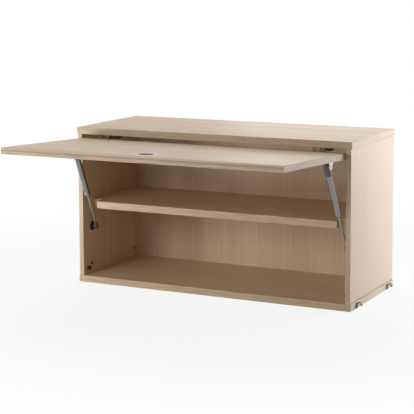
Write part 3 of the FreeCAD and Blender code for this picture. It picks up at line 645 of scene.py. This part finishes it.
# --------------------------------------------------------------- operators
class CABINET_OT_boards(bpy.types.Operator):
    """Veneers every board and tints the dowels"""
    bl_idname = "cabinet.boards"
    bl_label = "Boards"

    def execute(self, context):
        board = context.scene.cabinet_boards
        level = (X, Y, Z)
        upright = (Z, Y, -X)
        rear = (Z, X, Y)
        layout = {
            "top_panel": level, "bottom_panel": level, "shelf": level,
            "left_side_panel": upright, "right_side_panel": upright, "back_panel": rear,
        }
        for seed, (node, axes) in enumerate(sorted(layout.items())):
            low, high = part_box(node)
            size = [abs((high - low).dot(axis)) for axis in axes]
            # Painted light: the right side's faces and the top and bottom panels' ends are paled
            # where the right lamp lights them.
            painted_face_light = board.painted_face_light if node == "right_side_panel" else 0.0
            end_wood = board.painted_light_wood if node in ("top_panel", "bottom_panel") else None
            wear(node, veneer(node + "_veneer", (low + high) / 2, axes, size, board, seed + 1.0,
                              painted_face_light, end_wood))
        self.finish_flap(board)
        beyond_bands = (10.0, 10.0, 10.0)
        wear("panel_dowels", veneer("dowel_beech", Vector(), upright, beyond_bands, board, 11.0))
        return {"FINISHED"}

    def finish_flap(self, board):
        """Veneers the open flap along its own axes."""
        mesh = frame["nodes"]["flap_panel"].data
        axes = (X, FLAP_UP, FLAP_IN)
        spans = []
        for axis in axes:
            depths = [vertex.co.dot(axis) for vertex in mesh.vertices]
            spans.append((min(depths), max(depths)))
        centre = sum((axis * (low + high) / 2 for axis, (low, high) in zip(axes, spans)), Vector())
        size = [high - low for low, high in spans]
        wear("flap_panel", veneer("flap_panel_veneer", centre, axes, size, board, 9.0,
                                  end_wood=board.flap_end_wood))


class CABINET_OT_metalwork(bpy.types.Operator):
    """Finishes the hinges, brackets, studs, hooks, struts, shelf pins and cam bolts"""
    bl_idname = "cabinet.metalwork"
    bl_label = "Metalwork"

    def execute(self, context):
        fittings = context.scene.cabinet_fittings
        zinc = plain_metal("zinc_plate", fittings.zinc, 0.30, 3.0)
        hook_metal = plain_metal("hook_steel", fittings.hook, 0.34, 4.0)
        nickel = plain_metal("hinge_nickel", fittings.nickel, 0.40, 5.0, marks=0.5)
        tube = polished("strut_tube_steel", fittings.tube, 0.20, 7.0)
        chrome = polished("hard_chrome", fittings.chrome, 0.10, 9.0)
        for side in SIDES:
            for part in ("hinge_arm", "hinge_leaf", "hinge_pin"):
                wear(f"{side}_{part}", nickel)
            for part in ("flap_bracket", "flap_bracket_stud", "strut_foot_stud",
                         "strut_piston"):
                wear(f"{side}_{part}", zinc)
            for part in ("front_hook", "rear_hook"):
                wear(f"{side}_{part}", hook_metal)
            wear(f"{side}_strut_tube", tube)
            wear(f"{side}_strut_rod", chrome)
        for node in ("shelf_pins", "cam_bolts"):
            wear(node, zinc)
        return {"FINISHED"}


class CABINET_OT_mouldings(bpy.types.Operator):
    """Finishes the plastic and rubber pieces"""
    bl_idname = "cabinet.mouldings"
    bl_label = "Mouldings"

    def execute(self, context):
        fittings = context.scene.cabinet_fittings
        grey = moulded("grey_moulding", fittings.grey_plastic, 0.42, 2.0)
        black = moulded("black_moulding", fittings.black_plastic, 0.45, 4.0)
        brown = moulded("brown_moulding", fittings.brown_plastic, 0.50, 5.0)
        rubber = moulded("stop_rubber", fittings.rubber, 0.70, 6.0, grain=3200.0)
        for side in SIDES:
            for part in ("strut_head", "strut_eye", "strut_guide"):
                wear(f"{side}_{part}", grey)
            wear(f"{side}_strut_foot", black)
            wear(f"{side}_hinge_block", brown)
            wear(f"{side}_flap_stop", rubber)
        return {"FINISHED"}


class CABINET_OT_pull(bpy.types.Operator):
    """Finishes the round pull in the flap"""
    bl_idname = "cabinet.pull"
    bl_label = "Pull"

    def execute(self, context):
        fittings = context.scene.cabinet_fittings
        low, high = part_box("pull_cup")
        centre = (low + high) / 2
        radius = (high.x - low.x) / 2
        metal = turned_metal("pull_metal", fittings.pull, fittings.pull_wall_shade, centre,
                             (X, FLAP_UP, FLAP_IN), radius)
        wear("pull_cup", metal)
        return {"FINISHED"}


class CABINET_OT_screws(bpy.types.Operator):
    """Makes the countersunk screws, with cross recess and thread"""
    bl_idname = "cabinet.screws"
    bl_label = "Screws"

    def execute(self, context):
        fittings = context.scene.cabinet_fittings
        bright = plain_metal("screw_zinc", fittings.zinc, 0.28, 13.0)
        dark = plain_metal("screw_black", fittings.black_steel, 0.34, 15.0, metallic=0.8)
        groups = (
            ("hook_screws", "cabinet", Z, bright),
            ("hinge_block_screws", "cabinet", Z, dark),
            ("strut_foot_screws", "cabinet", X, dark),
            ("hinge_leaf_screws", "flap", -FLAP_IN, bright),
            ("flap_bracket_screws", "flap", -FLAP_IN, bright),
            ("pull_screw", "flap", FLAP_IN, dark),
        )
        turn_of_next = 37.0
        for node, body, axis, material in groups:
            places = []
            for number, solid in enumerate(islands(node)):
                way = axis
                if axis == X and sum(solid, Vector()).x < 0:
                    way = -X
                start, length = extent(solid, way)
                twist = Matrix.Rotation(math.radians(turn_of_next * number), 4, "Z")
                places.append(facing(start, way) @ twist)
            whole = repeated(screw_solid(length, fittings), places)
            piece = piece_from(whole, node + "_cut", material, body, (node,))
            shade_by_angle(piece)
        return {"FINISHED"}


class CABINET_OT_cams(bpy.types.Operator):
    """Makes the round cam connectors in the side panels"""
    bl_idname = "cabinet.cams"
    bl_label = "Cam connectors"

    def execute(self, context):
        fittings = context.scene.cabinet_fittings
        cast = plain_metal("cam_casting", fittings.cam, 0.50, 17.0, metallic=0.6)
        places = []
        for solid in islands("cam_housings"):
            middle = sum(solid, Vector()) / len(solid)
            way = X if middle.x > 0 else -X
            start, length = extent(solid, way)
            radius = (max(p.y for p in solid) - min(p.y for p in solid)) / 2
            start.y = (max(p.y for p in solid) + min(p.y for p in solid)) / 2
            start.z = (max(p.z for p in solid) + min(p.z for p in solid)) / 2
            places.append(facing(start, way))
        body = bmesh.new()
        rim = 0.0004
        dish = 0.0003
        groove = radius - 0.0006
        lathe(body, [(0, dish), (radius - 0.0011, dish), (radius - 0.0008, 0),
                     (radius - rim, 0), (radius, rim), (radius, length * 0.55),
                     (groove, length * 0.58), (groove, length * 0.80),
                     (radius, length * 0.83), (radius, length), (0, length)], 40)
        body = carve(body, cross_cutter(radius * 0.62, 0.0022, radius * 0.17))
        whole = repeated(body, places)
        piece = piece_from(whole, "cam_connectors", cast, "cabinet",
                           ("cam_housings",))
        shade_by_angle(piece)
        return {"FINISHED"}


class CABINET_OT_clips(bpy.types.Operator):
    """Makes the wire clip that locks each strut's socket on its ball"""
    bl_idname = "cabinet.clips"
    bl_label = "Socket clips"

    def execute(self, context):
        fittings = context.scene.cabinet_fittings
        wire = plain_metal("spring_wire", fittings.zinc, 0.25, 19.0)
        reach = 0.0068
        inset = 0.0020
        sweep = math.radians(290.0)
        for side in SIDES:
            low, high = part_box(f"{side}_flap_bracket_stud")
            head_low, head_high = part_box(f"{side}_strut_head")
            out = 1.0 if low.x > 0 else -1.0
            centre = (low + high) / 2
            centre.x = head_high.x if out > 0 else head_low.x
            centre.x -= out * inset
            made = bmesh.new()
            ring = bmesh.ops.create_circle(made, cap_ends=False, segments=10,
                                           radius=fittings.clip_wire)
            bmesh.ops.rotate(made, verts=ring["verts"], cent=(0, 0, 0),
                             matrix=Matrix.Rotation(FULL_TURN / 4, 3, "X"))
            bmesh.ops.translate(made, verts=ring["verts"], vec=(reach, 0, 0))
            bmesh.ops.spin(made, geom=made.verts[:] + made.edges[:], cent=(0, 0, 0),
                           axis=(0, 0, 1), angle=sweep, steps=48)
            open_edges = [edge for edge in made.edges if edge.is_boundary]
            bmesh.ops.holes_fill(made, edges=open_edges, sides=16)
            bmesh.ops.transform(made, matrix=facing(centre, X * out), verts=made.verts)
            piece = piece_from(made, f"{side}_socket_clip", wire, f"{side}_cylinder")
            shade_by_angle(piece)
        return {"FINISHED"}


class CABINET_OT_stage(bpy.types.Operator):
    """Sets the floor, the lights and the camera"""
    bl_idname = "cabinet.stage"
    bl_label = "Stage"

    def execute(self, context):
        stage = context.scene.cabinet_stage
        self.lay_floor(stage)
        self.hang_lights()
        self.light_world(context, stage)
        self.set_camera(context, stage)
        context.scene.view_settings.view_transform = "Standard"
        return {"FINISHED"}

    def lay_floor(self, stage):
        """Pale floor that is seen white far off and keeps the shadow close by."""
        builder = bmesh.new()
        bmesh.ops.create_grid(builder, x_segments=1, y_segments=1, size=stage.floor_reach)
        mesh = bpy.data.meshes.new("floor")
        builder.to_mesh(mesh)
        builder.free()
        floor = bpy.data.objects.new("floor", mesh)
        bpy.context.scene.collection.objects.link(floor)
        finish = Finish("floor_paint")
        cloud = finish.noise(finish.object_place(), 3.0, 3.0, 0.5)
        tone = finish.blend(cloud * 0.3, rgba(stage.floor_colour), rgba(stage.floor_colour, 1.03))
        matt = finish.add("ShaderNodeBsdfDiffuse", {}, {"Color": tone})[0]
        white = finish.add("ShaderNodeEmission", {}, {"Color": WHITE, "Strength": 1.0})[0]
        x, y, _ = finish.apart(finish.object_place())
        far = ((x * x + y * y) ** 0.5).ramp(stage.shadow_reach * 0.35, stage.shadow_reach)
        share = stage.floor_glow + (1.0 - stage.floor_glow) * far
        mixed = finish.add("ShaderNodeMixShader", {},
                           {0: finish.seen() * share, 1: matt, 2: white})[0]
        finish.add("ShaderNodeOutputMaterial", {}, {"Surface": mixed})
        mesh.materials.append(finish.material)

    def hang_lights(self):
        """Soft boxes: name, place, aimed at, size in metres, power in watts."""
        boxes = (
            ("overhead", (-0.6, 0.6, 2.0), (0.0, 0.0, 0.3), 1.2, 14.8),
            ("right_rear", (1.05, 0.60, 0.5), (0.4, 0.1, 0.2), 0.5, 7.8),
            ("left_low", (-0.95, -0.85, 0.15), (-0.2, 0.0, 0.2), 0.3, 3.2),
            ("front_middle", (0.2, -2.4, 1.0), (0.0, 0.0, 0.15), 0.8, 2.0),
            ("front_left", (-0.8, -2.2, 0.9), (-0.1, 0.0, 0.15), 0.7, 12.4),
            ("rear_glow", (-0.9, 3.2, 0.8), (0.0, 0.0, 0.3), 1.2, 7.4),
        )
        for name, place, target, size, power in boxes:
            light = bpy.data.lights.new(name, "AREA")
            light.shape = "SQUARE"
            light.size = size
            light.energy = power
            lamp = bpy.data.objects.new(name, light)
            bpy.context.scene.collection.objects.link(lamp)
            aim = Vector(target) - Vector(place)
            turn = aim.to_track_quat("-Z", "Y").to_matrix().to_4x4()
            lamp.matrix_world = Matrix.Translation(place) @ turn

    def light_world(self, context, stage):
        """Plain white all round, with only a little light from it."""
        world = bpy.data.worlds.new("white_room")
        context.scene.world = world
        nodes = Nodes(world)
        light = nodes.add("ShaderNodeBackground", {},
                          {"Color": WHITE, "Strength": stage.fill_light})[0]
        white = nodes.add("ShaderNodeBackground", {}, {"Color": WHITE, "Strength": 1.0})[0]
        mixed = nodes.add("ShaderNodeMixShader", {}, {0: nodes.seen(), 1: light, 2: white})[0]
        nodes.add("ShaderNodeOutputWorld", {}, {"Surface": mixed})

    def set_camera(self, context, stage):
        """Camera at the photograph's viewing angle."""
        data = bpy.data.cameras.new("camera")
        data.sensor_width = 36.0
        data.lens = stage.camera_lens
        data.shift_y = stage.camera_shift
        data.clip_end = 100.0
        camera = bpy.data.objects.new("camera", data)
        context.scene.collection.objects.link(camera)
        turn = Matrix.Rotation(stage.camera_heading, 4, "Z") \
            @ Matrix.Rotation(FULL_TURN / 4 + stage.camera_pitch, 4, "X") \
            @ Matrix.Rotation(stage.camera_roll, 4, "Z")
        camera.matrix_world = Matrix.Translation(stage.camera_place) @ turn
        bpy.context.scene.camera = camera


class CABINET_PT_sidebar(bpy.types.Panel):
    """Lists the steps that finish the cabinet"""
    bl_idname = "CABINET_PT_sidebar"
    bl_label = "Lift Up Wall Cabinet"
    bl_space_type = "VIEW_3D"
    bl_region_type = "UI"
    bl_category = "Cabinet"

    def draw(self, context):
        for settings in (context.scene.cabinet_boards, context.scene.cabinet_fittings,
                         context.scene.cabinet_stage):
            box = self.layout.box()
            for name in settings.__annotations__:
                box.prop(settings, name)
        for step in STEPS:
            self.layout.operator(step.bl_idname)


STEPS = (CABINET_OT_boards, CABINET_OT_metalwork, CABINET_OT_mouldings, CABINET_OT_pull,
         CABINET_OT_screws, CABINET_OT_cams, CABINET_OT_clips, CABINET_OT_stage)
SETTINGS = (("cabinet_boards", CABINET_PG_boards), ("cabinet_fittings", CABINET_PG_fittings),
            ("cabinet_stage", CABINET_PG_stage))


def register():
    for name, group in SETTINGS:
        bpy.utils.register_class(group)
        setattr(bpy.types.Scene, name, PointerProperty(type=group))
    for step in STEPS + (CABINET_PT_sidebar,):
        bpy.utils.register_class(step)


def unregister():
    for step in reversed(STEPS + (CABINET_PT_sidebar,)):
        bpy.utils.unregister_class(step)
    for name, group in reversed(SETTINGS):
        delattr(bpy.types.Scene, name)
        bpy.utils.unregister_class(group)


def main():
    register()
    for step in STEPS:
        family, action = step.bl_idname.split(".")
        getattr(getattr(bpy.ops, family), action)()


if __name__ == "__main__":
    main()
